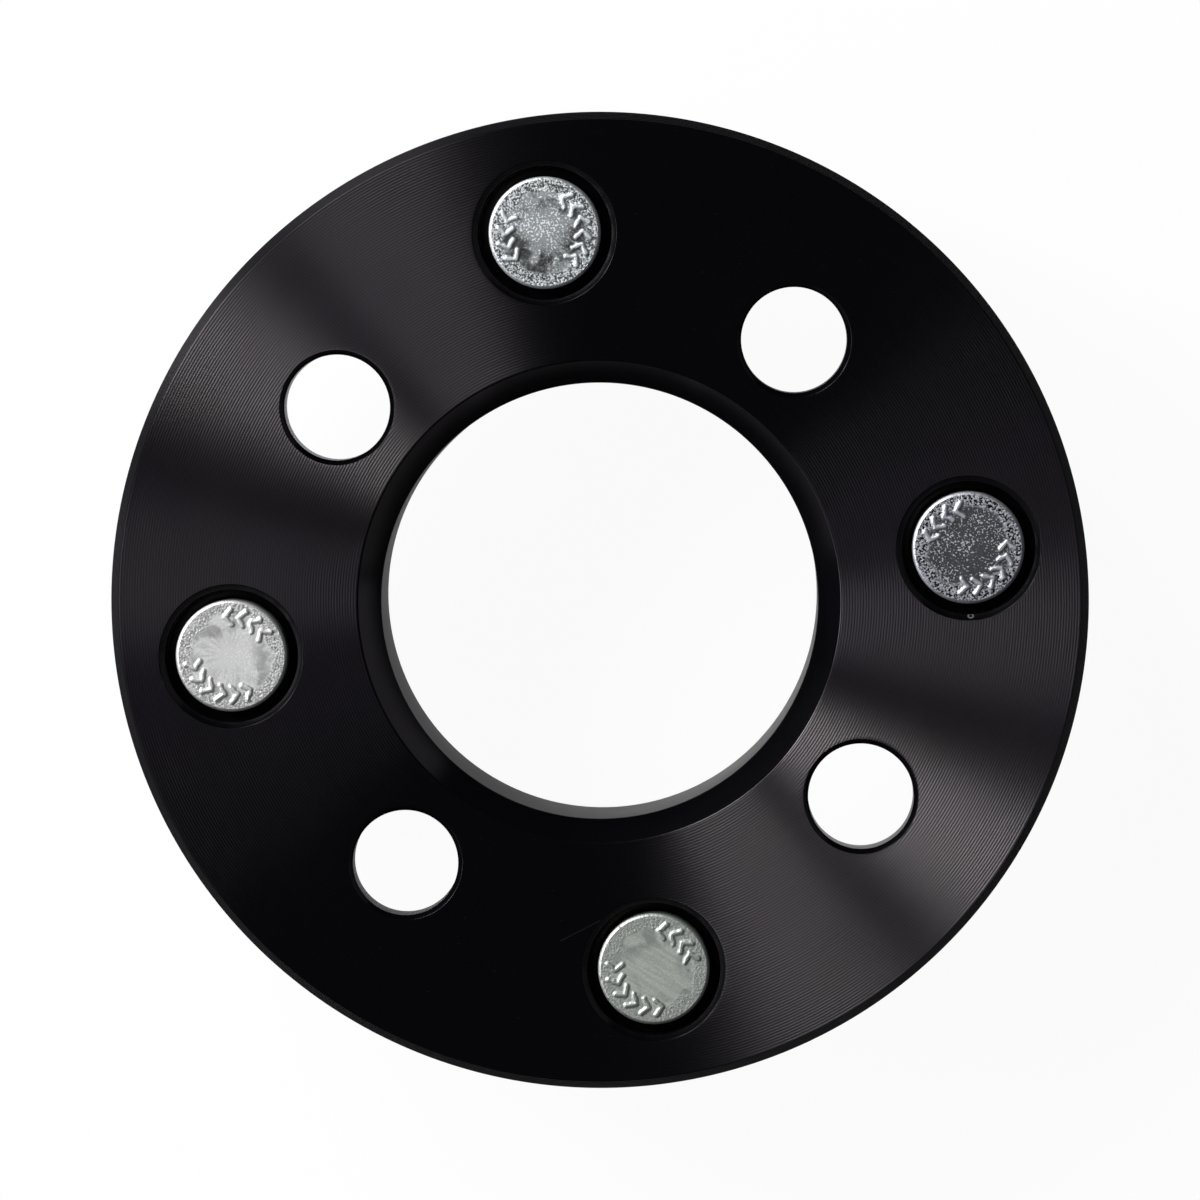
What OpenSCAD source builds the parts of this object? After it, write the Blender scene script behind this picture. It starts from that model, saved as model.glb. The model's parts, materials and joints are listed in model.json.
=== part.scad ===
// Bolt-on wheel spacer: a thick round plate that is bolted to a car's hub
// and carries a second ring of pressed-in studs for the wheel.
// It stands on its stud tips with the hub face up, and the origin is on the axis at the tips.
// All sizes are in millimetres.

/* [Plate] */
// Outer diameter of the plate
plate_d = 150; // [140:1:180]
// Thickness from the hub face to the wheel face
plate_t = 25; // [22:1:40]
// Chamfer of both outer edges
rim_chamfer = 1.2; // [0.4:0.1:2.5]
// Diameter of the centre bore, which slides over the hub's pilot
bore_d = 67.1; // [54:0.1:68]
// Lead-in chamfer of the bore at the hub face
bore_lead_in = 3.5; // [1:0.1:4.5]
// Edge break of the bore at the wheel face
bore_edge_break = 1; // [0.4:0.1:2]

/* [Lug holes] */
// Bolt circle of the hub's own studs
hub_pcd = 100; // [98:0.1:108]
// Number of lug holes, and of wheel studs
lug_count = 4; // [4:1:6]
// Diameter of the hole that a hub stud passes through
lug_hole_d = 16.2; // [13:0.1:18]
// Depth of the straight hole, from the hub face to the nut's seat
lug_land = 6.8; // [4:0.1:9]
// Full angle of the conical nut seat
seat_angle = 60; // [50:1:90]
// Widest diameter of the conical nut seat
seat_d = 21; // [19:0.1:23]
// Diameter of the pocket that takes the nut and its socket wrench
pocket_d = 27; // [25:0.1:28]
// Edge break of the lug holes and of the nut pockets
lug_edge_break = 0.7; // [0.3:0.1:1.2]

/* [Wheel studs] */
// Bolt circle of the wheel
wheel_pcd = 114.3; // [108:0.1:120]
// Outer diameter of the stud's thread
thread_d = 12; // [10:0.5:14]
// Length of stud that stands out of the wheel face
stud_reach = 27; // [18:1:45]
// Chamfer of the stud's tip
tip_chamfer = 1.3; // [0.5:0.1:2.5]
// Diameter of the stud's round head
head_d = 17.2; // [16.5:0.1:19]
// Height of the stud's head
head_h = 4.5; // [3:0.1:6]
// Chamfer of the head's upper rim
head_chamfer = 0.4; // [0.2:0.1:0.8]
// Depth of the head's top below the hub face
head_recess = 1; // [0.3:0.1:2]
// Diameter over the crests of the knurl that is pressed into the plate
knurl_d = 14.3; // [14.1:0.1:15.5]
// Length of the knurl below the head
knurl_l = 12; // [8:0.5:14]
// Number of teeth round the knurl
knurl_teeth = 36; // [24:1:48]
// Depth of the knurl's teeth
knurl_depth = 0.45; // [0.2:0.05:0.8]
// Length of the undercut between the knurl and the thread
neck_l = 2; // [1:0.5:3]
// Depth of the undercut below the thread's outer diameter
neck_depth = 0.95; // [0.5:0.05:1.2]

/* [Stud seats] */
// Gap around the stud's head in its counterbore
head_gap = 1.65; // [0.5:0.05:2]
// Edge break of the counterbore and of the stud hole
seat_edge_break = 0.8; // [0.3:0.1:1.2]
// Clearance left between the pressed-in knurl's crests and its hole
knurl_clearance = 0.02; // [0.01:0.01:0.1]

/* [Hidden] */
$fn = 96;

// How far a cutter runs past the face that it opens
overshoot = 1;

plate_r = plate_d / 2;
bore_r = bore_d / 2;
lug_hole_r = lug_hole_d / 2;
seat_r = seat_d / 2;
pocket_r = pocket_d / 2;
thread_r = thread_d / 2;
head_r = head_d / 2;
knurl_r = knurl_d / 2;
neck_r = thread_r - neck_depth;
counterbore_r = head_r + head_gap;
stud_hole_r = knurl_r + knurl_clearance;

// Heights, from the stud tips up
wheel_face_z = stud_reach;
hub_face_z = wheel_face_z + plate_t;
land_end_z = hub_face_z - lug_land;
pocket_floor_z = land_end_z - (seat_r - lug_hole_r) / tan(seat_angle / 2);
head_top_z = hub_face_z - head_recess;
head_seat_z = head_top_z - head_h;
knurl_end_z = head_seat_z - knurl_l;
thread_start_z = knurl_end_z - neck_l;

// The studs stand on the X axis and at even steps from it, with a lug hole midway between each two
lug_step = 360 / lug_count;
lug_offset = lug_step / 2;

black_anodised = [0.07, 0.07, 0.075];
zinc_plate = [0.78, 0.8, 0.81];

// Copies a shape that stands on the Z axis to every place of a bolt circle
module on_bolt_circle(pcd, start_angle) {
  for (k = [0 : lug_count - 1])
    rotate(start_angle + k * lug_step)
      translate([pcd / 2, 0, 0])
        children();
}

// The plate as turned, before any hole is drilled
module turned_blank() {
  rotate_extrude()
    polygon([
      [bore_r, wheel_face_z + bore_edge_break],
      [bore_r + bore_edge_break, wheel_face_z],
      [plate_r - rim_chamfer, wheel_face_z],
      [plate_r, wheel_face_z + rim_chamfer],
      [plate_r, hub_face_z - rim_chamfer],
      [plate_r - rim_chamfer, hub_face_z],
      [bore_r + bore_lead_in, hub_face_z],
      [bore_r, hub_face_z - bore_lead_in]
    ]);
}

// What is cut for one hub stud: a straight hole, the nut's conical seat and a flat-bottomed pocket.
// The 45 degree edge breaks run on past both faces.
module lug_hole_cut() {
  rotate_extrude()
    polygon([
      [0, wheel_face_z - overshoot],
      [pocket_r + lug_edge_break + overshoot, wheel_face_z - overshoot],
      [pocket_r, wheel_face_z + lug_edge_break],
      [pocket_r, pocket_floor_z],
      [seat_r, pocket_floor_z],
      [lug_hole_r, land_end_z],
      [lug_hole_r, hub_face_z - lug_edge_break],
      [lug_hole_r + lug_edge_break + overshoot, hub_face_z + overshoot],
      [0, hub_face_z + overshoot]
    ]);
}

// What is cut for one wheel stud: a counterbore for its head and a hole for its knurl.
// The 45 degree edge breaks run on past both faces.
module stud_seat_cut() {
  rotate_extrude()
    polygon([
      [0, wheel_face_z - overshoot],
      [stud_hole_r + seat_edge_break + overshoot, wheel_face_z - overshoot],
      [stud_hole_r, wheel_face_z + seat_edge_break],
      [stud_hole_r, head_seat_z],
      [counterbore_r, head_seat_z],
      [counterbore_r, hub_face_z - seat_edge_break],
      [counterbore_r + seat_edge_break + overshoot, hub_face_z + overshoot],
      [0, hub_face_z + overshoot]
    ]);
}

module spacer_plate() {
  color(black_anodised)
    difference() {
      turned_blank();
      on_bolt_circle(hub_pcd, lug_offset) lug_hole_cut();
      on_bolt_circle(wheel_pcd, 0) stud_seat_cut();
    }
}

// The round outline of a stud: head, core of the knurl, undercut, thread and tip
module stud_core() {
  knurl_root_r = knurl_r - knurl_depth;
  rotate_extrude()
    polygon([
      [0, 0],
      [thread_r - tip_chamfer, 0],
      [thread_r, tip_chamfer],
      [thread_r, thread_start_z - neck_depth],
      [neck_r, thread_start_z],
      [neck_r, knurl_end_z],
      [knurl_root_r, knurl_end_z],
      [knurl_root_r, head_seat_z],
      [head_r, head_seat_z],
      [head_r, head_top_z - head_chamfer],
      [head_r - head_chamfer, head_top_z],
      [0, head_top_z]
    ]);
}

// The straight teeth of the knurl, in section
module knurl_section() {
  tooth_step = 360 / knurl_teeth;
  polygon([
    for (k = [0 : 2 * knurl_teeth - 1])
      let (r = k % 2 == 0 ? knurl_r : knurl_r - knurl_depth, a = k * tooth_step / 2)
        [r * cos(a), r * sin(a)]
  ]);
}

// One pressed-in wheel stud, with its tip on the ground plane
module wheel_stud() {
  stud_core();
  translate([0, 0, knurl_end_z])
    linear_extrude(knurl_l)
      knurl_section();
}

module wheel_studs() {
  color(zinc_plate)
    on_bolt_circle(wheel_pcd, 0) wheel_stud();
}

spacer_plate();
wheel_studs();
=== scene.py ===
import json
import math
from collections import namedtuple

import bmesh
import bpy
from mathutils import Matrix, Vector, noise
from mathutils.geometry import delaunay_2d_cdt


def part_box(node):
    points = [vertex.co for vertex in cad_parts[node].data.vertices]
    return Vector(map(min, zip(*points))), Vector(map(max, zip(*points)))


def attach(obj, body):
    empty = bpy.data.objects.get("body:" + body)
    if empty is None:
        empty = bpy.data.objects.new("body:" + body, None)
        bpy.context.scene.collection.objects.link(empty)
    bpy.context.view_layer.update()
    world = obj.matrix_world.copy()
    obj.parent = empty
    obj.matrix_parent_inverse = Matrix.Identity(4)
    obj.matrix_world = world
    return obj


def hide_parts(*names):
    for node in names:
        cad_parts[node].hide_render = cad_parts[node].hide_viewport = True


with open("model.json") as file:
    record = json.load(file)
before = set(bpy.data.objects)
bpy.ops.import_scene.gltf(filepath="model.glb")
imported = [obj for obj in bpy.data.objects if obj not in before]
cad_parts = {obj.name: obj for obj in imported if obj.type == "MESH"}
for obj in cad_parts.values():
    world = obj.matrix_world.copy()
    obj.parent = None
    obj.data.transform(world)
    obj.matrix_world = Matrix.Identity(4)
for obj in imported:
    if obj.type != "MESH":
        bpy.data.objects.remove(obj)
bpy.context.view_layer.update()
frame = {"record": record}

# Sizes that the frame gives, in metres
MM = 0.001
MOUNTS = {m["name"]: m["dims"] for m in frame["record"]["mounts"]}
plate_low, plate_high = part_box("spacer_plate")
studs_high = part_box("wheel_studs")[1]
PLATE_R = plate_high.x
HUB_Z = plate_high.z
WHEEL_Z = plate_low.z
BORE_R = MOUNTS["hub_bore"]["r_mm"] * MM
LUG_COUNT = MOUNTS["hub_stud_holes"]["count"]
LUG_CIRCLE_R = MOUNTS["hub_stud_holes"]["pcd_mm"] * MM / 2
LUG_HOLE_R = MOUNTS["hub_stud_holes"]["hole_r_mm"] * MM
STUD_CIRCLE_R = MOUNTS["wheel_stud_ring"]["pcd_mm"] * MM / 2
THREAD_R = MOUNTS["wheel_stud_ring"]["stud_r_mm"] * MM
HEAD_TOP_Z = studs_high.z
HEAD_R = studs_high.x - STUD_CIRCLE_R
LUG_STEP = 2 * math.pi / LUG_COUNT

# Sizes of the plate that the frame doesn't give
RIM_CHAMFER = 1.2 * MM
BORE_LEAD_IN = 3.5 * MM
BORE_EDGE_BREAK = 1 * MM
LUG_LAND = 6.8 * MM
SEAT_R = 10.5 * MM
SEAT_SLOPE = math.tan(math.radians(30))
POCKET_R = 13.5 * MM
LUG_EDGE_BREAK = 0.7 * MM
COUNTERBORE_R = 10.25 * MM
STUD_HOLE_R = 7.17 * MM
SEAT_EDGE_BREAK = 0.8 * MM
EDGE_ROUND = 0.16 * MM
BORE_EDGE_ROUND = 0.4 * MM
FACE_BAND = 0.5 * MM

# Sizes of a stud
HEAD_H = 4.5 * MM
HEAD_CHAMFER = 0.4 * MM
HEAD_GRAIN_DEPTH = 0.03 * MM
HEAD_SEAT_Z = HEAD_TOP_Z - HEAD_H
HEAD_FLAT_R = HEAD_R - HEAD_CHAMFER
HEAD_FLAT_Z = HEAD_TOP_Z - HEAD_GRAIN_DEPTH
KNURL_R = 7.15 * MM
KNURL_DEPTH = 0.45 * MM
KNURL_L = 12 * MM
KNURL_TEETH = 36
NECK_L = 2 * MM
NECK_DEPTH = 0.95 * MM
TIP_CHAMFER = 1.3 * MM
THREAD_PITCH = 1.5 * MM
THREAD_DEPTH = 0.92 * MM
KNURL_END_Z = HEAD_SEAT_Z - KNURL_L
THREAD_TOP_Z = KNURL_END_Z - NECK_L - NECK_DEPTH

# The photo's view: how the part lies in the picture, and where the camera stands
IMAGE_TURN = math.radians(8.43)
VIEW_SLANT = math.radians(3.46)
VIEW_SLANT_TOWARDS = math.radians(69.2)
VIEW_DISTANCE = 1.05
VIEW_SHIFT = (0.0007, 0.0019)
LENS_MM = 205.6
SENSOR_MM = 36


def in_plane(angle):
    """The level direction that is seen at this angle in the picture, counted from its right side."""
    world = angle - IMAGE_TURN
    return Vector((math.cos(world), math.sin(world), 0))


def on_picture(right, up):
    """A place on the hub face, in millimetres right of and above its centre in the picture."""
    return (in_plane(0) * right + in_plane(math.pi / 2) * up) * MM + Vector((0, 0, HUB_Z))


def on_circle(radius, k, start=0.0):
    """The k-th place on a bolt circle."""
    angle = start + k * LUG_STEP
    return Vector((radius * math.cos(angle), radius * math.sin(angle), 0))


# Node trees

def new_material(name):
    """A material with a Principled shader, and its tree and shader."""
    material = bpy.data.materials.new(name)
    material.use_nodes = True
    tree = material.node_tree
    return material, tree, tree.nodes["Principled BSDF"]


def add(tree, kind, inputs=None, **settings):
    """A new node with these settings, whose inputs are values or other nodes' outputs."""
    node = tree.nodes.new(kind)
    for key, value in settings.items():
        setattr(node, key, value)
    for key, value in (inputs or {}).items():
        feed(tree, node, key, value)
    return node


def feed(tree, node, key, value):
    """Gives an input of a node a value or another node's output."""
    if isinstance(value, bpy.types.NodeSocket):
        tree.links.new(value, node.inputs[key])
    else:
        node.inputs[key].default_value = value


def feeding(node, key):
    """The output that feeds an input of a node."""
    return node.inputs[key].links[0].from_socket


def math_node(tree, operation, first, second=0.0):
    """The output of a Math node."""
    return add(tree, "ShaderNodeMath", {0: first, 1: second}, operation=operation).outputs[0]


def map_range(tree, value, low, high, to_low, to_high):
    """A value carried from one range to another, and held within it."""
    inputs = {"Value": value, "From Min": low, "From Max": high, "To Min": to_low, "To Max": to_high}
    return add(tree, "ShaderNodeMapRange", inputs).outputs["Result"]


def mix_colours(tree, factor, first, second):
    """A mix of two colours, which are the sixth and seventh inputs of a Mix node."""
    return add(tree, "ShaderNodeMix", {0: factor, 6: first, 7: second}, data_type="RGBA").outputs[2]


def noise_node(tree, vector, scale, detail=2.0):
    """The value of a noise texture, of about this many cells to the metre."""
    inputs = {"Vector": vector, "Scale": scale, "Detail": detail}
    return add(tree, "ShaderNodeTexNoise", inputs).outputs["Fac"]


def bump(tree, shader, height, distance, strength=1.0):
    """Gives a shader the slopes of a height."""
    inputs = {"Strength": strength, "Distance": distance, "Height": height}
    feed(tree, shader, "Normal", add(tree, "ShaderNodeBump", inputs).outputs[0])


def vector_node(tree, operation, first, second=(0, 0, 0)):
    """A Vector Math node."""
    return add(tree, "ShaderNodeVectorMath", {0: first, 1: second}, operation=operation)


def scaled(tree, vector, factor):
    """A vector times a number."""
    return add(tree, "ShaderNodeVectorMath", {0: vector, "Scale": factor}, operation="SCALE").outputs[0]


def flat_part(tree, position):
    """A place without its height."""
    parts = add(tree, "ShaderNodeSeparateXYZ", {0: position}).outputs
    return add(tree, "ShaderNodeCombineXYZ", {"X": parts["X"], "Y": parts["Y"]}).outputs[0]


def level_radius(tree, position):
    """The distance of a place from the upright axis of its object."""
    return vector_node(tree, "LENGTH", flat_part(tree, position)).outputs["Value"]


# Materials

NO_LIGHT = (0, 0, 0, 1)
# The middle of a noise's range, from 0 to 1, and the part of it that most of the noise lies in
NOISE_MIDDLE = 0.5
MOST_OF_NOISE = (0.3, 0.7)

# The black finish, and the rings that are turned into it
BLACK = (0.0008, 0.0008, 0.0013, 1)
BLACK_WORN = (0.0014, 0.0013, 0.002, 1)
BLACK_CLOUDS_PER_M = 60
TURNING_PITCH = 0.42 * MM
TURNING_DEPTH = 0.014 * MM
TURNING_UNEVEN = 0.01 * MM
UNEVEN_PER_M = 2400
TURNING_LEAN = 0.078
SIDE_DEPTH = 0.003 * MM
# Painted shade in the turning grooves: the share of the gloss's tint that they lose
GROOVE_SHADE = 0.3
# The gloss is drawn out at a quarter of a turn from the run of the rings
ACROSS_RINGS = 0.25
CUT_GRAIN_PER_M = 9000
CUT_GRAIN_BUMP = 0.01 * MM
CUT_GRAIN_STRENGTH = 0.3
# The dyed oxide film's two faint tints, and how fine their clouds are
FILM_WARM = (1, 0.91, 0.93, 1)
FILM_COOL = (0.97, 0.875, 1, 1)
FILM_PER_M = 45
FILM_EDGES = (0.35, 0.65)
DUST = (0.014, 0.013, 0.013, 1)
DUST_PER_M = 110
DUST_R = 0.09 * MM
# The faint scratches on the hub face, by their ends in the picture, in millimetres from its centre
SCRATCHES = (((-5.9, -52.1), (0.1, -49)), ((-56.8, -25.2), (-56.8, -27)))
SCRATCH_HALF_WIDTH = 0.06 * MM
# The small pale ring that is left on the lip of the right stud's counterbore
SPOT_ANGLE = math.radians(-88)
SPOT_OUT = 10.45 * MM
SPOT_DOWN = 0.6 * MM
SPOT_R = 0.38 * MM
SPOT_LINE = (0.1 * SPOT_R, 0.4 * SPOT_R)
SPOT_COLOUR = (0.14, 0.14, 0.15, 1)


def along_turning(tree, position):
    """How far a place is along the path of the lathe's tool, out over a face and down the rim."""
    height = add(tree, "ShaderNodeSeparateXYZ", {0: position}).outputs["Z"]
    return math_node(tree, "SUBTRACT", level_radius(tree, position), height)


def turning_wave(tree, along):
    """The fine rings that the tool leaves, as a wave from -1 to 1."""
    return math_node(tree, "SINE", math_node(tree, "MULTIPLY", along, 2 * math.pi / TURNING_PITCH))


def turning_height(tree, position, along, wave, depth, lean):
    """Heights, in metres, of the turning rings, whose long flanks lean to the axis."""
    inputs = {"W": along, "Scale": UNEVEN_PER_M, "Detail": 3.0}
    uneven = add(tree, "ShaderNodeTexNoise", inputs, noise_dimensions="1D").outputs["Fac"]
    rings = math_node(tree, "MULTIPLY", wave, depth)
    rings = math_node(tree, "ADD", rings, math_node(tree, "MULTIPLY", uneven, TURNING_UNEVEN))
    leaning = math_node(tree, "MULTIPLY", level_radius(tree, position), lean)
    return math_node(tree, "ADD", rings, leaning)


def scratch_mask(tree, position, start, end):
    """1 on a straight scratch between two places, and 0 off it."""
    run = end - start
    off = vector_node(tree, "SUBTRACT", position, start).outputs[0]
    share = vector_node(tree, "DOT_PRODUCT", off, run / run.length_squared).outputs["Value"]
    share = map_range(tree, share, 0.0, 1.0, 0.0, 1.0)
    gap = vector_node(tree, "DISTANCE", off, scaled(tree, run, share)).outputs["Value"]
    return map_range(tree, gap, 0.5 * SCRATCH_HALF_WIDTH, SCRATCH_HALF_WIDTH, 1.0, 0.0)


def dust_mask(tree, position):
    """1 on a few scattered specks, and 0 between them."""
    inputs = {"Vector": position, "Scale": DUST_PER_M}
    gap = add(tree, "ShaderNodeTexVoronoi", inputs, voronoi_dimensions="2D").outputs["Distance"]
    reach = DUST_R * DUST_PER_M
    return map_range(tree, gap, 0.5 * reach, reach, 1.0, 0.0)


def black_anodised(name, roughness, specular):
    """Black anodised aluminium, faintly cloudy in colour and gloss, with its tree, shader and place."""
    material, tree, shader = new_material(name)
    position = add(tree, "ShaderNodeTexCoord").outputs["Object"]
    cloud = noise_node(tree, position, BLACK_CLOUDS_PER_M, detail=4.0)
    film = map_range(tree, noise_node(tree, position, FILM_PER_M), *FILM_EDGES, 0.0, 1.0)
    feed(tree, shader, "Base Color", mix_colours(tree, cloud, BLACK, BLACK_WORN))
    feed(tree, shader, "Specular IOR Level", specular)
    feed(tree, shader, "Specular Tint", mix_colours(tree, film, FILM_WARM, FILM_COOL))
    feed(tree, shader, "Roughness", map_range(tree, cloud, *MOST_OF_NOISE, *roughness))
    return material, tree, shader, position


def turned_black(name, roughness, specular, depth, lean):
    """The faces and the rim, whose rings draw the gloss out across them and have painted shade in their
    grooves.
    """
    material, tree, shader, position = black_anodised(name, roughness, specular)
    feed(tree, shader, "Anisotropic", 1.0)
    feed(tree, shader, "Anisotropic Rotation", ACROSS_RINGS)
    tangent = add(tree, "ShaderNodeTangent", direction_type="RADIAL", axis="Z")
    feed(tree, shader, "Tangent", tangent.outputs[0])
    along = along_turning(tree, position)
    wave = turning_wave(tree, along)
    bump(tree, shader, turning_height(tree, position, along, wave, depth, lean), 1.0)
    # Painted shade: the gloss's tint is lowered in the grooves of the rings, standing in for the shade
    # inside them
    lit = map_range(tree, wave, -1.0, 1.0, 1 - GROOVE_SHADE, 1.0)
    tint = mix_colours(tree, lit, NO_LIGHT, feeding(shader, "Specular Tint"))
    feed(tree, shader, "Specular Tint", tint)
    mask = dust_mask(tree, position)
    for start, end in SCRATCHES:
        scratch = scratch_mask(tree, position, on_picture(*start), on_picture(*end))
        mask = math_node(tree, "MAXIMUM", mask, scratch)
    feed(tree, shader, "Base Color", mix_colours(tree, mask, feeding(shader, "Base Color"), DUST))
    return material


def cut_black(name, roughness, specular):
    """The bore, the drilled holes and their edges, which are smoother and have a fine even grain."""
    material, tree, shader, position = black_anodised(name, roughness, specular)
    grain = noise_node(tree, position, CUT_GRAIN_PER_M)
    bump(tree, shader, grain, CUT_GRAIN_BUMP, CUT_GRAIN_STRENGTH)
    spot = on_circle(STUD_CIRCLE_R, 0) + in_plane(SPOT_ANGLE) * SPOT_OUT
    spot.z = HUB_Z - SPOT_DOWN
    gap = vector_node(tree, "DISTANCE", position, spot).outputs["Value"]
    gap = math_node(tree, "ABSOLUTE", math_node(tree, "SUBTRACT", gap, SPOT_R))
    mask = map_range(tree, gap, *SPOT_LINE, 1.0, 0.0)
    colour = mix_colours(tree, mask, feeding(shader, "Base Color"), SPOT_COLOUR)
    feed(tree, shader, "Base Color", colour)
    return material


# The zinc plate of a stud below its head
ZINC = (0.84, 0.87, 0.86, 1)
ZINC_DULL = (0.5, 0.52, 0.52, 1)
ZINC_PATCHES_PER_M = 350
ZINC_ROUGHNESS = (0.3, 0.42)
ZINC_GRAIN_BUMP = 0.012 * MM
# The finish of the heads, with the part of each noise's range in which a mask rises or falls
GRAIN_PER_M = 3400
GRAIN_BUMP = 0.04 * MM
MIDDLE_GRAIN = 0.4
PIT_EDGES = (0.43, 0.57)
BORDER_ROUGHNESS = 0.54
MARK_ROUGHNESS = 0.5
HEAD_APART = 0.05
SPECKS_PER_M = 3000
SPECK_EDGES = (0.545, 0.605)
SPECK_ROUGHNESS = 0.64
# The specks are thickest in the middle and in faint clouds, and thin out to this radius
SPECKS_TO_R = 6 * MM
SPECKS_THINNING = 0.02
CLOUDS_PER_M = 260
CLOUDS_STRENGTH = 0.3
# The blotches lie outside these radii, which waver
BLOTCHES_PER_M = 420
BLOTCH_EDGES = (0.44, 0.56)
BLOTCHES_FROM_R = 3.2 * MM
BLOTCHES_FULL_R = 4.8 * MM
BLOTCHES_WAVER = 7 * MM
BLOTCHES_WAVER_PER_M = 180
STREAKS_PER_M = 2600
STREAK_EDGES = (0.4, 0.6)
STREAK_STRETCH = 12
# The cracks that run out from a head's middle: where their pattern is read, and where they fade in
CRACKS_READ_R = 3 * MM
CRACK_STRETCH = 7
CRACK_EDGES = (0.48, 0.58)
CRACKS_FROM_R = 1.2 * MM
CRACKS_FULL_R = 3.6 * MM
CRACK_PATCHES_PER_M = 170
CRACK_PATCH_EDGES = (0.42, 0.56)


def zinc_thread():
    """Plain bright zinc plate, for a stud below its head."""
    material, tree, shader = new_material("zinc_thread")
    position = add(tree, "ShaderNodeTexCoord").outputs["Object"]
    patches = noise_node(tree, position, ZINC_PATCHES_PER_M, detail=4.0)
    feed(tree, shader, "Base Color", mix_colours(tree, patches, ZINC_DULL, ZINC))
    feed(tree, shader, "Metallic", 1.0)
    feed(tree, shader, "Roughness", map_range(tree, patches, *MOST_OF_NOISE, *ZINC_ROUGHNESS))
    bump(tree, shader, noise_node(tree, position, GRAIN_PER_M), ZINC_GRAIN_BUMP)
    return material


def darkened(tree, light, mask, amount):
    """A share of light, lowered by this amount where a mask is 1."""
    kept = math_node(tree, "SUBTRACT", 1.0, math_node(tree, "MULTIPLY", mask, amount))
    return math_node(tree, "MULTIPLY", light, kept)


def eased(tree, value, target, share):
    """A value drawn towards a target by a share."""
    gap = math_node(tree, "SUBTRACT", target, value)
    return math_node(tree, "ADD", value, math_node(tree, "MULTIPLY", gap, share))


def speck_mask(tree, centred, place):
    """1 on the fine bright specks of a head's middle, and 0 between them."""
    specks = noise_node(tree, place, SPECKS_PER_M)
    thinner = map_range(tree, level_radius(tree, centred), 0.0, SPECKS_TO_R, 0.0, SPECKS_THINNING)
    clouds = math_node(tree, "SUBTRACT", noise_node(tree, place, CLOUDS_PER_M), NOISE_MIDDLE)
    specks = math_node(tree, "ADD", specks, math_node(tree, "MULTIPLY", clouds, CLOUDS_STRENGTH))
    return map_range(tree, math_node(tree, "SUBTRACT", specks, thinner), *SPECK_EDGES, 0.0, 1.0)


def blotch_mask(tree, centred, place):
    """Dark blotches, in a wavering ring round a head's middle."""
    blotches = noise_node(tree, place, BLOTCHES_PER_M, detail=9.0)
    blotches = map_range(tree, blotches, *BLOTCH_EDGES, 0.0, 1.0)
    waver = noise_node(tree, place, BLOTCHES_WAVER_PER_M)
    waver = math_node(tree, "SUBTRACT", waver, NOISE_MIDDLE)
    waver = math_node(tree, "MULTIPLY", waver, BLOTCHES_WAVER)
    out = math_node(tree, "ADD", level_radius(tree, centred), waver)
    spread = map_range(tree, out, BLOTCHES_FROM_R, BLOTCHES_FULL_R, 0.0, 1.0)
    return math_node(tree, "MULTIPLY", blotches, spread)


def streak_mask(tree, place, turn):
    """Straight streaks across a head, at this turn in degrees."""
    rotation = (0, 0, math.radians(turn))
    inputs = {"Vector": place, "Rotation": rotation, "Scale": (1, STREAK_STRETCH, 1)}
    drawn = add(tree, "ShaderNodeMapping", inputs, vector_type="TEXTURE").outputs[0]
    return map_range(tree, noise_node(tree, drawn, STREAKS_PER_M), *STREAK_EDGES, 0.0, 1.0)


def crack_mask(tree, centred, place, k):
    """Fine cracks that run out from a head's middle, in patches."""
    way = vector_node(tree, "NORMALIZE", flat_part(tree, centred)).outputs[0]
    radius = level_radius(tree, centred)
    along = math_node(tree, "ADD", math_node(tree, "DIVIDE", radius, CRACK_STRETCH), k * HEAD_APART)
    along = add(tree, "ShaderNodeCombineXYZ", {"Z": along}).outputs[0]
    drawn = vector_node(tree, "ADD", scaled(tree, way, CRACKS_READ_R), along).outputs[0]
    cracks = noise_node(tree, drawn, STREAKS_PER_M, detail=3.0)
    cracks = map_range(tree, cracks, *CRACK_EDGES, 0.0, 1.0)
    patches = noise_node(tree, place, CRACK_PATCHES_PER_M)
    patches = map_range(tree, patches, *CRACK_PATCH_EDGES, 0.0, 1.0)
    faded_in = map_range(tree, radius, CRACKS_FROM_R, CRACKS_FULL_R, 0.0, 1.0)
    return math_node(tree, "MULTIPLY", math_node(tree, "MULTIPLY", cracks, patches), faded_in)


HeadMasks = namedtuple("HeadMasks", "coarse raised middle grains specks blotches streaks")


def head_masks(tree, stud, k):
    """Where on a head each finish shows, as shares from 0 to 1."""
    centred = add(tree, "ShaderNodeTexCoord").outputs["Object"]
    place = vector_node(tree, "ADD", centred, (k * HEAD_APART, 0, 0)).outputs[0]
    coarse = add(tree, "ShaderNodeAttribute", attribute_name="coarse").outputs["Fac"]
    raised = add(tree, "ShaderNodeAttribute", attribute_name="raised").outputs["Fac"]
    middle = math_node(tree, "SUBTRACT", 1.0, coarse)
    grains = noise_node(tree, place, GRAIN_PER_M)
    specks = math_node(tree, "MULTIPLY", speck_mask(tree, centred, place), middle)
    blotches = blotch_mask(tree, centred, place)
    if stud.streak_turn is None:
        streaks = crack_mask(tree, centred, place, k)
    else:
        streaks = streak_mask(tree, place, stud.streak_turn)
    return HeadMasks(coarse, raised, middle, grains, specks, blotches, streaks)


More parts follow.
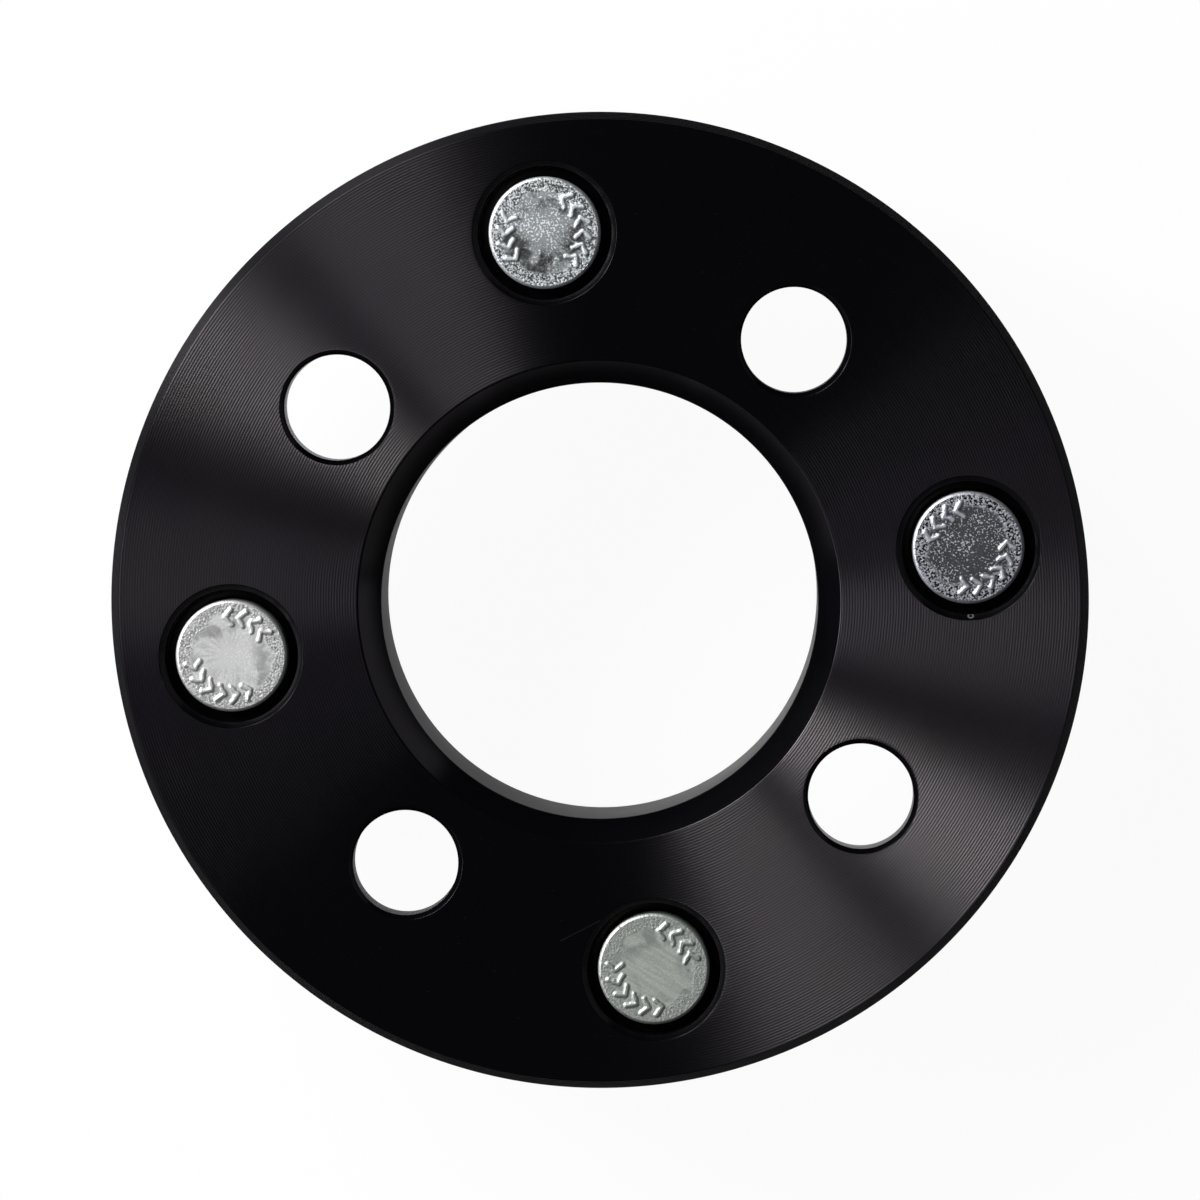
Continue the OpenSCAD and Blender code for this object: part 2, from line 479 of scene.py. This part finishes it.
def head_light(tree, stud, masks):
    """The share of the stud's colour that a place on its head gives back: lower between the specks,
    with painted shade in the border's pits, and lower in the blotches and streaks; the raised marks and
    the painted highlight at the rim keep more of it.
    """
    between = math_node(tree, "SUBTRACT", masks.middle, masks.specks)
    # Painted shade: the border's colour is darkened in its pits, where the grain's bump is lowest
    pits = map_range(tree, masks.grains, *PIT_EDGES, 1.0, 0.0)
    light = darkened(tree, 1.0, between, stud.speckle)
    light = darkened(tree, light, math_node(tree, "MULTIPLY", pits, masks.coarse), stud.border)
    for mask, amount in ((masks.blotches, stud.blotches), (masks.streaks, stud.streaks)):
        light = darkened(tree, light, math_node(tree, "MULTIPLY", mask, masks.middle), amount)
    return eased(tree, light, 1.0, masks.raised)


def head_roughness(tree, stud, masks):
    """The roughness of a head."""
    low, high = stud.roughness
    roughness = map_range(tree, masks.blotches, 0.0, 1.0, high, low)
    roughness = eased(tree, roughness, SPECK_ROUGHNESS, masks.specks)
    roughness = eased(tree, roughness, BORDER_ROUGHNESS, masks.coarse)
    return eased(tree, roughness, MARK_ROUGHNESS, masks.raised)


def zinc_head(stud, k):
    """Zinc plate on a forged head: a blotched middle, a sparkling border and smooth raised marks."""
    material, tree, shader = new_material("zinc_head_" + stud.side)
    masks = head_masks(tree, stud, k)
    colour = mix_colours(tree, head_light(tree, stud, masks), NO_LIGHT, stud.colour)
    feed(tree, shader, "Base Color", colour)
    feed(tree, shader, "Metallic", 1.0)
    feed(tree, shader, "Roughness", head_roughness(tree, stud, masks))
    rise = map_range(tree, masks.coarse, 0.0, 1.0, MIDDLE_GRAIN, 1.0)
    bump(tree, shader, math_node(tree, "MULTIPLY", masks.grains, rise), GRAIN_BUMP)
    return material


FLOOR_COLOUR = (0.93, 0.93, 0.93, 1)
FLOOR_OWN_WHITE = 0.95
FLOOR_MIRRORED_WHITE = 0.21
WHITE = (1, 1, 1, 1)


def floor_material():
    """A white floor that looks white to the camera, and still takes the shadow."""
    material, tree, shader = new_material("white_floor")
    tree.nodes.remove(shader)
    path = add(tree, "ShaderNodeLightPath").outputs
    seen = math_node(tree, "MAXIMUM", path["Is Camera Ray"], path["Is Transmission Ray"])
    seen = math_node(tree, "MULTIPLY", seen, FLOOR_OWN_WHITE)
    mirrored = math_node(tree, "MULTIPLY", path["Is Glossy Ray"], FLOOR_MIRRORED_WHITE)
    share = math_node(tree, "MAXIMUM", seen, mirrored)
    matt = add(tree, "ShaderNodeBsdfDiffuse", {"Color": FLOOR_COLOUR})
    white = add(tree, "ShaderNodeEmission", {"Color": WHITE, "Strength": 1.0})
    mixed = add(tree, "ShaderNodeMixShader", {0: share, 1: matt.outputs[0], 2: white.outputs[0]})
    feed(tree, tree.nodes["Material Output"], "Surface", mixed.outputs[0])
    return material


# Mesh helpers

# Faces that meet at a wider angle than this have a sharp edge between them
SHARP_ANGLE = math.radians(50)
ROUND_STEPS = 5
# The largest share of a straight stretch of a profile that the arc at one of its ends may take
ROUND_SHARE = 0.45
# Lengths below this count as nothing
TINY = 1e-9
FACE_TOLERANCE = 1e-6
MERGE_DISTANCE = 1e-7


def rounded(corners, radius=EDGE_ROUND):
    """A profile of (radius, height) points with every corner between its ends turned into an arc."""
    points = [Vector(corners[0])]
    for before, corner, after in zip(corners, corners[1:], corners[2:]):
        corner = Vector(corner)
        back, on = Vector(before) - corner, Vector(after) - corner
        half = back.angle(on) / 2
        reach = min(radius / math.tan(half), ROUND_SHARE * back.length, ROUND_SHARE * on.length)
        centre = corner + (back.normalized() + on.normalized()).normalized() * reach / math.cos(half)
        start = corner + back.normalized() * reach - centre
        end = corner + on.normalized() * reach - centre
        arc = [start.slerp(end, k / ROUND_STEPS) * start.length for k in range(ROUND_STEPS + 1)]
        points += [centre + step for step in arc]
    return points + [Vector(corners[-1])]


def turn_angles(count):
    """Even steps of a full turn."""
    return [2 * math.pi * k / count for k in range(count)]


def new_ring(mesh, r, z, angles, centre=Vector((0, 0, 0))):
    """A level ring of vertices."""
    return [mesh.verts.new((centre.x + r * math.cos(a), centre.y + r * math.sin(a), z)) for a in angles]


def new_face(mesh, corners, material):
    """A smoothly shaded face."""
    face = mesh.faces.new(corners)
    face.material_index = material
    face.smooth = True


def join_rows(mesh, rows, material):
    """Quads between each open row of vertices and the next."""
    for low, high in zip(rows, rows[1:]):
        for k in range(len(low) - 1):
            new_face(mesh, (low[k], low[k + 1], high[k + 1], high[k]), material)


def join_rings(mesh, rings, material):
    """Quads between each closed ring of vertices and the next."""
    join_rows(mesh, [ring + ring[:1] for ring in rings], material)


def close_ring(mesh, ring, middle, material):
    """A fan of triangles between a ring and a vertex in its middle."""
    for k in range(len(ring)):
        new_face(mesh, (ring[k], ring[(k + 1) % len(ring)], middle), material)


def finish_of(start, end, edge, wall):
    """The finish of one step of a profile: that of a face, of an upright wall or of an edge between."""
    on_a_face = start.y < WHEEL_Z + FACE_TOLERANCE or start.y > HUB_Z - FACE_TOLERANCE
    if abs(end.y - start.y) < TINY and on_a_face:
        return TURNED
    return wall if abs(end.x - start.x) < TINY else edge


def lathe(mesh, profile, centre, segments, edge, wall):
    """Turns a profile round an upright axis, and returns its first and last rings of vertices."""
    angles = turn_angles(segments)
    rings = [new_ring(mesh, r, z, angles, centre) for r, z in profile]
    for low, high, start, end in zip(rings, rings[1:], profile, profile[1:]):
        join_rings(mesh, [low, high], finish_of(start, end, edge, wall))
    return rings[0], rings[-1]


def flat_face(mesh, outer, holes, material):
    """Fills a level face between an outer ring of vertices and the rings of its holes."""
    rings = [outer] + holes
    verts = [v for ring in rings for v in ring]
    edges, start = [], 0
    for ring in rings:
        edges += [(start + k, start + (k + 1) % len(ring)) for k in range(len(ring))]
        start += len(ring)
    places = [v.co.to_2d() for v in verts]
    made_places, _, made_faces, origins, _, _ = delaunay_2d_cdt(places, edges, [], 0, TINY)
    circles = []
    for ring in holes:
        middle = sum((v.co.to_2d() for v in ring), Vector((0, 0))) / len(ring)
        circles.append((middle, (ring[0].co.to_2d() - middle).length))
    for corners in made_faces:
        middle = sum((made_places[k] for k in corners), Vector((0, 0))) / len(corners)
        if all((middle - c).length > r for c, r in circles):
            new_face(mesh, [verts[origins[k][0]] for k in corners], material)


def new_piece(name, mesh, materials, node, place=Vector((0, 0, 0))):
    """An object made of a finished mesh, which stands for a CAD node."""
    bmesh.ops.recalc_face_normals(mesh, faces=mesh.faces)
    for edge in mesh.edges:
        edge.smooth = edge.calc_face_angle(0) < SHARP_ANGLE
    data = bpy.data.meshes.new(name)
    mesh.to_mesh(data)
    mesh.free()
    for material in materials:
        data.materials.append(material)
    piece = bpy.data.objects.new(name, data)
    piece.location = place
    bpy.context.collection.objects.link(piece)
    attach(piece, "root")
    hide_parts(node)
    return piece


# The plate

TURNED, RIM, SIDE, EDGE, LIP, WALL = range(6)
RIM_SEGMENTS, BORE_SEGMENTS, HOLE_SEGMENTS = 288, 192, 96


def plate_materials():
    """The plate's finishes, in the order of their numbers, each with its roughness and its shine."""
    return [
        turned_black("turned_black", (0.28, 0.31), 0.69, TURNING_DEPTH, TURNING_LEAN),
        turned_black("rim_black", (0.33, 0.37), 0.15, TURNING_DEPTH, lean=0.0),
        turned_black("side_black", (0.3, 0.36), 0.45, SIDE_DEPTH, lean=0.0),
        cut_black("edge_black", (0.16, 0.2), 0.35),
        cut_black("lip_black", (0.2, 0.24), 0.17),
        cut_black("wall_black", (0.32, 0.36), 0.4),
    ]


def rim_profile():
    """The plate's outside, from the wheel face to the hub face."""
    flat_r = PLATE_R - RIM_CHAMFER
    return rounded([
        (flat_r - FACE_BAND, WHEEL_Z),
        (flat_r, WHEEL_Z),
        (PLATE_R, WHEEL_Z + RIM_CHAMFER),
        (PLATE_R, HUB_Z - RIM_CHAMFER),
        (flat_r, HUB_Z),
        (flat_r - FACE_BAND, HUB_Z),
    ])


def bore_profile():
    """The centre bore, from the wheel face to the hub face."""
    return rounded([
        (BORE_R + BORE_EDGE_BREAK + FACE_BAND, WHEEL_Z),
        (BORE_R + BORE_EDGE_BREAK, WHEEL_Z),
        (BORE_R, WHEEL_Z + BORE_EDGE_BREAK),
        (BORE_R, HUB_Z - BORE_LEAD_IN),
        (BORE_R + BORE_LEAD_IN, HUB_Z),
        (BORE_R + BORE_LEAD_IN + FACE_BAND, HUB_Z),
    ], BORE_EDGE_ROUND)


def lug_hole_profile():
    """A lug hole with its nut's pocket and conical seat, from the wheel face to the hub face."""
    land_end_z = HUB_Z - LUG_LAND
    pocket_floor_z = land_end_z - (SEAT_R - LUG_HOLE_R) / SEAT_SLOPE
    return rounded([
        (POCKET_R + LUG_EDGE_BREAK + FACE_BAND, WHEEL_Z),
        (POCKET_R + LUG_EDGE_BREAK, WHEEL_Z),
        (POCKET_R, WHEEL_Z + LUG_EDGE_BREAK),
        (POCKET_R, pocket_floor_z),
        (SEAT_R, pocket_floor_z),
        (LUG_HOLE_R, land_end_z),
        (LUG_HOLE_R, HUB_Z - LUG_EDGE_BREAK),
        (LUG_HOLE_R + LUG_EDGE_BREAK, HUB_Z),
        (LUG_HOLE_R + LUG_EDGE_BREAK + FACE_BAND, HUB_Z),
    ])


def stud_seat_profile():
    """A stud's hole and the counterbore of its head, from the wheel face to the hub face."""
    return rounded([
        (STUD_HOLE_R + SEAT_EDGE_BREAK + FACE_BAND, WHEEL_Z),
        (STUD_HOLE_R + SEAT_EDGE_BREAK, WHEEL_Z),
        (STUD_HOLE_R, WHEEL_Z + SEAT_EDGE_BREAK),
        (STUD_HOLE_R, HEAD_SEAT_Z),
        (COUNTERBORE_R, HEAD_SEAT_Z),
        (COUNTERBORE_R, HUB_Z - SEAT_EDGE_BREAK),
        (COUNTERBORE_R + SEAT_EDGE_BREAK, HUB_Z),
        (COUNTERBORE_R + SEAT_EDGE_BREAK + FACE_BAND, HUB_Z),
    ])


def make_plate():
    """The spacer's plate, with softly broken edges."""
    mesh = bmesh.new()
    axis = Vector((0, 0, 0))
    rim_low, rim_high = lathe(mesh, rim_profile(), axis, RIM_SEGMENTS, RIM, SIDE)
    bore_low, bore_high = lathe(mesh, bore_profile(), axis, BORE_SEGMENTS, EDGE, WALL)
    wheel_holes, hub_holes = [bore_low], [bore_high]
    for k in range(LUG_COUNT):
        for profile, place in (
            (lug_hole_profile(), on_circle(LUG_CIRCLE_R, k, LUG_STEP / 2)),
            (stud_seat_profile(), on_circle(STUD_CIRCLE_R, k)),
        ):
            low, high = lathe(mesh, profile, place, HOLE_SEGMENTS, LIP, WALL)
            wheel_holes.append(low)
            hub_holes.append(high)
    flat_face(mesh, rim_low, wheel_holes, TURNED)
    flat_face(mesh, rim_high, hub_holes, TURNED)
    plate = new_piece("turned_plate", mesh, plate_materials(), "spacer_plate")


# The studs

HEAD, SHANK = range(2)
HEAD_SEGMENTS, HEAD_RINGS = 480, 84
# One tooth of the knurl: how far down from crest to root, at even steps
KNURL_SHAPE = (0, 0.5, 1, 0.5)
SHANK_SEGMENTS = len(KNURL_SHAPE) * KNURL_TEETH
BORDER_R = 6.3 * MM
BORDER_EDGE = 0.3 * MM
BORDER_WAVER = 1.2 * MM
BORDER_WAVER_PER_M = 330
# A painted highlight along the edge of each head's flat top: its width, and the share by which it
# counts as a raised mark and so keeps more of the full colour
PAINTED_HIGHLIGHT_EDGE = 0.25 * MM
PAINTED_HIGHLIGHT_SHARE = 0.5
HEAD_GRAIN_PER_M = 3300
MIDDLE_GRAIN_SHARE = 0.15
MARK_HEIGHT = 0.23 * MM
MARK_HALF_WIDTH = 0.34 * MM
MARK_EDGE = 0.19 * MM
MARK_WEAR = 0.16 * MM
MARK_WEAR_PER_M = 1400
MARK_CIRCLE_R = 5.95 * MM
MARK_REACH = 1.7 * MM
MARK_STEP = math.radians(20)
LONG_ROW, SHORT_ROW = 6, 4
# The chevron of every mark, by its corners in millimetres across and out from its middle
CHEVRON = ((-0.5, -1.1), (0.5, 0), (-0.5, 1.1))
# One turn of the thread: how far along the pitch, and how far down from crest to root
THREAD_SHAPE = ((0, 0), (0.125, 0), (0.42, 0.94), (0.5, 1), (0.62, 1), (0.7, 0.94))
# The turns over which the thread runs out
THREAD_RUN_OUT = 1.5


def smooth_step(value, low, high):
    """0 below low, 1 above high, and a smooth rise between."""
    t = min(max((value - low) / (high - low), 0), 1)
    return t * t * (3 - 2 * t)


def mark_angles(turn):
    """The places of the raised marks round a head: a long row, and a short one across from it."""
    long_row = [turn + (k - (LONG_ROW - 1) / 2) * MARK_STEP for k in range(LONG_ROW)]
    short_row = [turn + math.pi + (k - (SHORT_ROW - 1) / 2) * MARK_STEP for k in range(SHORT_ROW)]
    return long_row + short_row


def mark_strokes(turn):
    """The straight strokes of every mark on a head, each by its two ends."""
    strokes = []
    for angle in mark_angles(turn):
        out = Vector((math.cos(angle), math.sin(angle)))
        across = out.orthogonal()
        corners = [out * MARK_CIRCLE_R + (across * a + out * b) * MM for a, b in CHEVRON]
        strokes += zip(corners, corners[1:])
    return strokes


def stroke_gap(place, start, end):
    """How far a place is from a stroke."""
    run = end - start
    share = min(max((place - start).dot(run) / run.length_squared, 0), 1)
    return (place - start - run * share).length


def raised_share(place, strokes):
    """How far up the worn marks a place on the head is, from 0 to 1."""
    if abs(place.length - MARK_CIRCLE_R) > MARK_REACH:
        return 0.0
    near = [s for s in strokes if (s[0] - place).length < 2 * MARK_REACH]
    gap = min((stroke_gap(place, *s) for s in near), default=MARK_REACH)
    wear = MARK_WEAR * noise.noise((place * MARK_WEAR_PER_M).to_3d())
    return 1 - smooth_step(gap + wear, MARK_HALF_WIDTH - MARK_EDGE, MARK_HALF_WIDTH + MARK_EDGE)


def new_head_vertex(mesh, place, stud, seed, strokes):
    """A vertex of a head's top, with how coarse and how smooth the head is there, and the painted
    highlight along the edge of its flat top.
    """
    share = raised_share(place, strokes)
    waver = BORDER_WAVER * noise.noise((place * BORDER_WAVER_PER_M).to_3d() + Vector((0, 0, seed)))
    border = smooth_step(place.length + waver, BORDER_R - BORDER_EDGE, BORDER_R + BORDER_EDGE)
    zone = (1 - share) * border
    grain = noise.noise((place * HEAD_GRAIN_PER_M).to_3d() + Vector((0, 0, seed)))
    depth = HEAD_GRAIN_DEPTH * (MIDDLE_GRAIN_SHARE + stud.grain * zone)
    # The painted highlight near the edge of the flat top
    edge = PAINTED_HIGHLIGHT_SHARE * smooth_step(place.length, HEAD_FLAT_R - PAINTED_HIGHLIGHT_EDGE, HEAD_FLAT_R)
    vert = mesh.verts.new((*place, HEAD_FLAT_Z + MARK_HEIGHT * share + depth * grain))
    vert[mesh.verts.layers.float["coarse"]] = zone
    vert[mesh.verts.layers.float["raised"]] = max(share, edge)
    return vert


def make_head(mesh, stud, seed):
    """A stud's head: its marked top, its rim and its underside."""
    strokes = mark_strokes(math.radians(stud.turn) - IMAGE_TURN)
    coarse = mesh.verts.layers.float.new("coarse")
    raised = mesh.verts.layers.float.new("raised")
    angles = turn_angles(HEAD_SEGMENTS)
    ways = [Vector((math.cos(a), math.sin(a))) for a in angles]
    rings = []
    for j in range(1, HEAD_RINGS + 1):
        places = [way * HEAD_FLAT_R * j / HEAD_RINGS for way in ways]
        rings.append([new_head_vertex(mesh, place, stud, seed, strokes) for place in places])
    rim = rounded([
        (HEAD_FLAT_R, HEAD_FLAT_Z),
        (HEAD_R, HEAD_FLAT_Z - HEAD_CHAMFER),
        (HEAD_R, HEAD_SEAT_Z),
        (KNURL_R - KNURL_DEPTH, HEAD_SEAT_Z),
    ])
    for r, z in rim[1:]:
        ring = new_ring(mesh, r, z, angles)
        for vert in ring:
            vert[coarse] = 1.0
            vert[raised] = 1.0
        rings.append(ring)
    join_rings(mesh, rings, HEAD)
    close_ring(mesh, rings[0], mesh.verts.new((0, 0, HEAD_FLAT_Z)), HEAD)


def thread_point(turns, depth, angle):
    """A point of the thread, which starts at the tip's cone and runs out below the undercut."""
    z = min(max(turns * THREAD_PITCH, 0), THREAD_TOP_Z)
    fade = smooth_step(THREAD_TOP_Z - z, 0, THREAD_RUN_OUT * THREAD_PITCH)
    r = THREAD_R - THREAD_DEPTH * depth * fade
    r = min(r, THREAD_R - TIP_CHAMFER + z)
    return r * math.cos(angle), r * math.sin(angle), z


def make_thread(mesh, angles):
    """A stud's thread, as rows of vertices that each climb by one pitch in a turn."""
    rows = []
    for turn in range(-1, math.ceil(THREAD_TOP_Z / THREAD_PITCH) + 1):
        for along, depth in THREAD_SHAPE:
            points = [thread_point(turn + along + a / (2 * math.pi), depth, a) for a in angles]
            rows.append([mesh.verts.new(p) for p in points])
    one_turn_on = rows[len(THREAD_SHAPE):] + rows[-len(THREAD_SHAPE):]
    join_rows(mesh, [row + later[:1] for row, later in zip(rows, one_turn_on)], SHANK)
    return rows


def make_shank(mesh):
    """A stud below its head: the thread, its undercut and the knurl."""
    angles = turn_angles(SHANK_SEGMENTS)
    thread = make_thread(mesh, angles)
    rings = thread[-1:]
    for z in (KNURL_END_Z - NECK_L, KNURL_END_Z):
        rings.append(new_ring(mesh, THREAD_R - NECK_DEPTH, z, angles))
    for z, lead in ((KNURL_END_Z, KNURL_DEPTH), (KNURL_END_Z + KNURL_DEPTH, 0), (HEAD_SEAT_Z, 0)):
        ring = []
        for k, a in enumerate(angles):
            r = KNURL_R - max(KNURL_DEPTH * KNURL_SHAPE[k % len(KNURL_SHAPE)], lead)
            ring.append(mesh.verts.new((r * math.cos(a), r * math.sin(a), z)))
        rings.append(ring)
    join_rings(mesh, rings, SHANK)
    close_ring(mesh, thread[0], mesh.verts.new((0, 0, 0)), SHANK)
    verts = [v for ring in thread + rings[1:] for v in ring]
    bmesh.ops.remove_doubles(mesh, verts=verts, dist=MERGE_DISTANCE)


# Each stud's side in the picture, the turn of its marks in degrees, its head's colour, its middle's
# roughness in and out of the blotches, and the depth of its border's grain. Four shares follow, of how
# dark it is between the specks, in the border's pits, in the blotches and in the streaks. The last is
# the turn of the streaks in degrees, or None for cracks that run out from the middle in their place.
STUD_FIELDS = "side turn colour roughness grain speckle border blotches streaks streak_turn"
Stud = namedtuple("Stud", STUD_FIELDS)
# The heads' colours and dark shares are partly each head's own finish and partly painted light and
# shade: each slightly tilted head mirrors a brighter or darker part of the room, and that brightness is
# painted into its colour, most of all in the right head's dark middle.
STUDS = (
    Stud("right", -46, (0.66, 0.68, 0.72, 1), (0.7, 0.72), 0.85, 0.85, 1.0, 0.14, 0.16, 10),
    Stud("top", 8, (0.82, 0.86, 0.87, 1), (0.68, 0.74), 0.85, 0.56, 0.88, 0.76, 0.5, None),
    Stud("left", 245, (0.755, 0.762, 0.747, 1), (0.7, 0.74), 0.85, 0.12, 0.47, 0.36, 0.17, None),
    Stud("bottom", 228, (0.535, 0.57, 0.525, 1), (0.7, 0.72), 0.75, 0.1, 0.24, 0.28, 0.14, 50),
)


def make_studs():
    """The four pressed-in wheel studs."""
    thread = zinc_thread()
    for k, stud in enumerate(STUDS):
        mesh = bmesh.new()
        make_head(mesh, stud, k)
        make_shank(mesh)
        materials = [zinc_head(stud, k), thread]
        place = on_circle(STUD_CIRCLE_R, k)
        piece = new_piece("wheel_stud_" + stud.side, mesh, materials, "wheel_studs", place)


# The stage

FLOOR_HALF = 4.0
WORLD_COLOUR = (0.019, 0.02, 0.025, 1)
LIGHT_DISTANCE = 2.0
PLAIN_LIGHT = (1, 1, 1)
COOL_LIGHT = (0.94, 0.91, 1)
# Each lamp's angle in the picture and its height, in degrees, its width and length in metres, its
# radiance and its colour
Lamp = namedtuple("Lamp", "name azimuth elevation across along radiance colour")
LAMPS = (
    Lamp("key", 151, 40, 0.4, 1.1, 21.5, PLAIN_LIGHT),
    Lamp("second", 123, 38, 0.56, 0.9, 14, PLAIN_LIGHT),
    Lamp("left", 180, 35, 0.5, 0.8, 8.8, COOL_LIGHT),
    Lamp("left_dim", 198, 35, 0.5, 0.8, 2.1, COOL_LIGHT),
    Lamp("faint", 213, 35, 0.35, 0.6, 1.9, PLAIN_LIGHT),
)
# The low dim boxes that the chamfers mirror, by their angle in the picture and their radiance
LOW_BOXES = ((222, 0.36), (272, 0.24), (322, 0.28), (18, 0.42))
LOW_ELEVATION = 8
LOW_ACROSS, LOW_ALONG = 2.0, 0.4


def make_floor():
    """A wide white floor under the stud tips."""
    mesh = bmesh.new()
    bmesh.ops.create_grid(mesh, x_segments=1, y_segments=1, size=FLOOR_HALF)
    data = bpy.data.meshes.new("floor")
    mesh.to_mesh(data)
    mesh.free()
    data.materials.append(floor_material())
    floor = bpy.data.objects.new("floor", data)
    bpy.context.collection.objects.link(floor)


def make_softbox(lamp):
    """An area light that faces the plate."""
    level, rise = math.radians(lamp.azimuth), math.radians(lamp.elevation)
    away = in_plane(level) * math.cos(rise) + Vector((0, 0, math.sin(rise)))
    data = bpy.data.lights.new(lamp.name, "AREA")
    data.shape = "RECTANGLE"
    data.size = lamp.across
    data.size_y = lamp.along
    data.energy = lamp.radiance * lamp.across * lamp.along * math.pi
    data.color = lamp.colour
    light = bpy.data.objects.new(lamp.name, data)
    light.location = Vector((0, 0, HUB_Z)) + away * LIGHT_DISTANCE
    light.rotation_mode = "QUATERNION"
    light.rotation_quaternion = (-away).to_track_quat("-Z", "Y")
    bpy.context.collection.objects.link(light)


def make_lights():
    """The soft boxes, which the turned face draws out into its bright sectors, and a dim room."""
    for lamp in LAMPS:
        make_softbox(lamp)
    for azimuth, radiance in LOW_BOXES:
        name = "low_%d" % azimuth
        make_softbox(Lamp(name, azimuth, LOW_ELEVATION, LOW_ACROSS, LOW_ALONG, radiance, PLAIN_LIGHT))
    world = bpy.data.worlds.new("room")
    world.use_nodes = True
    world.node_tree.nodes["Background"].inputs["Color"].default_value = WORLD_COLOUR
    bpy.context.scene.world = world


def make_camera():
    """A camera over the hub face, as far off and as slanted as the photo's."""
    aim = Vector((0, 0, HUB_Z))
    back = in_plane(VIEW_SLANT_TOWARDS) * math.sin(VIEW_SLANT) + Vector((0, 0, math.cos(VIEW_SLANT)))
    picture_up = in_plane(math.pi / 2)
    right = picture_up.cross(back).normalized()
    up = back.cross(right)
    data = bpy.data.cameras.new("camera")
    data.lens = LENS_MM
    data.sensor_width = SENSOR_MM
    data.shift_x, data.shift_y = VIEW_SHIFT
    camera = bpy.data.objects.new("camera", data)
    turn = Matrix((right, up, back)).transposed()
    camera.matrix_world = Matrix.Translation(aim + back * VIEW_DISTANCE) @ turn.to_4x4()
    bpy.context.collection.objects.link(camera)
    bpy.context.scene.camera = camera


make_plate()
make_studs()
make_floor()
make_lights()
make_camera()
bpy.context.scene.view_settings.view_transform = "Standard"
